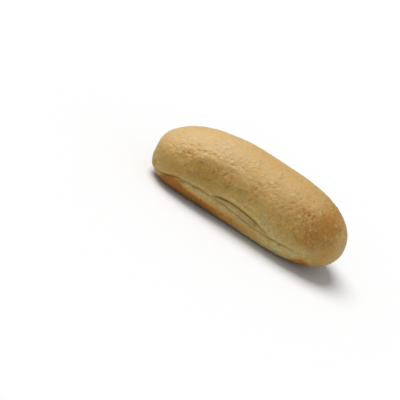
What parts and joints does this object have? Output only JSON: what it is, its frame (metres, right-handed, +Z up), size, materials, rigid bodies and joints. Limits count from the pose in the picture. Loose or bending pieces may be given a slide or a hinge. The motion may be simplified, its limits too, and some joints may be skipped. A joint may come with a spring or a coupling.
{
  "type": "bratwurst bun",
  "caption": "Whole soft sausage roll with a thin golden crust, pale sides, an open seam along one side and a flat baked base.",
  "frame": {"origin": "centre of the bounding box's footprint, on the flat base", "axes": "+X along the bun towards its fuller end, +Z up from the base, the long open seam faces -Y"},
  "size_m": [0.16, 0.0726, 0.0537],
  "materials": {
    "crust": "dry satin bread crust, golden on top, pale along the side seams, browned at the base"
  },
  "bodies": {
    "root": {"bratwurst_bun": "crust"}
  },
  "joints": []
}
